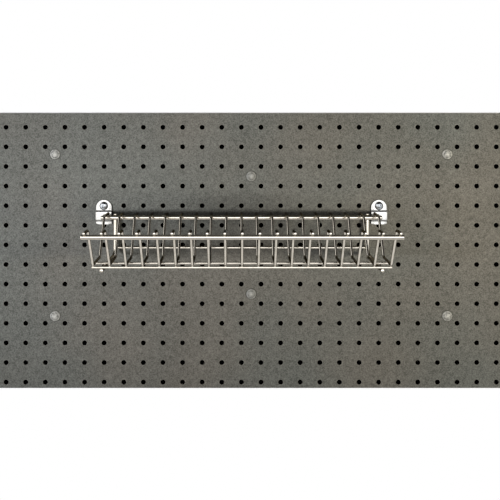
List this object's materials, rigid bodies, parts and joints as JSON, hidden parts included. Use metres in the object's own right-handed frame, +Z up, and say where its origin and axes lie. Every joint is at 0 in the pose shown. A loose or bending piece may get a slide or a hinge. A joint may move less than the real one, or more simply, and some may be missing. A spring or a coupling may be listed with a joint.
{
  "type": "pegboard tool wall",
  "caption": "Dark grey perforated pegboard on wall stand-offs, with a bright zinc wire trough basket screwed to it by sheet-metal clips.",
  "frame": {"origin": "on the wall plane, at the centre of the panel's rectangle of four corner wall screws", "axes": "+X to the right seen from the front, +Y into the wall, +Z up"},
  "size_m": [0.6604, 0.196, 0.3571],
  "materials": {
    "panel_board": "matt, faintly mottled",
    "basket_wire": "bright zinc plate",
    "clip_zinc": "bright zinc plate",
    "clip_screw_zinc": "zinc plate, satin",
    "wall_screw_grey": "pale grey, satin",
    "spacer_nylon": "natural nylon",
    "anchor_nylon": "natural nylon"
  },
  "bodies": {
    "wall_panel": {"pegboard_panel": "panel_board", "top_left_spacer": "spacer_nylon", "top_middle_spacer": "spacer_nylon", "top_right_spacer": "spacer_nylon", "bottom_left_spacer": "spacer_nylon", "bottom_middle_spacer": "spacer_nylon", "bottom_right_spacer": "spacer_nylon", "top_left_wall_screw": "wall_screw_grey", "top_middle_wall_screw": "wall_screw_grey", "top_right_wall_screw": "wall_screw_grey", "bottom_left_wall_screw": "wall_screw_grey", "bottom_middle_wall_screw": "wall_screw_grey", "bottom_right_wall_screw": "wall_screw_grey", "left_screw_anchor": "anchor_nylon", "right_screw_anchor": "anchor_nylon"},
    "basket": {"basket_wire_01": "basket_wire", "basket_wire_02": "basket_wire", "basket_wire_03": "basket_wire", "basket_wire_04": "basket_wire", "basket_wire_05": "basket_wire", "basket_wire_06": "basket_wire", "basket_wire_07": "basket_wire", "basket_wire_08": "basket_wire", "basket_wire_09": "basket_wire", "basket_wire_10": "basket_wire", "basket_wire_11": "basket_wire", "basket_wire_12": "basket_wire", "basket_wire_13": "basket_wire", "basket_wire_14": "basket_wire", "basket_wire_15": "basket_wire", "basket_wire_16": "basket_wire", "basket_wire_17": "basket_wire", "basket_wire_18": "basket_wire", "basket_wire_19": "basket_wire", "back_top_rail": "basket_wire", "front_top_rail": "basket_wire", "front_bottom_rail": "basket_wire", "middle_bottom_rail": "basket_wire", "back_brace_rail": "basket_wire", "left_support_arm": "basket_wire", "right_support_arm": "basket_wire", "left_clip": "clip_zinc", "right_clip": "clip_zinc"},
    "left_screw": {"left_clip_screw": "clip_screw_zinc"},
    "right_screw": {"right_clip_screw": "clip_screw_zinc"}
  },
  "joints": [
    {"name": "basket_lift_off", "type": "slide", "parent": "wall_panel", "child": "basket", "axis": [0, -1, 0], "range_m": [0, 0.06]},
    {"name": "left_screw_turn", "type": "hinge", "parent": "basket", "child": "left_screw", "pos_m": [-0.1905, -0.02105, 0.0381], "axis": [0, -1, 0], "continuous": true},
    {"name": "right_screw_turn", "type": "hinge", "parent": "basket", "child": "right_screw", "pos_m": [0.1651, -0.02105, 0.0381], "axis": [0, -1, 0], "continuous": true}
  ]
}
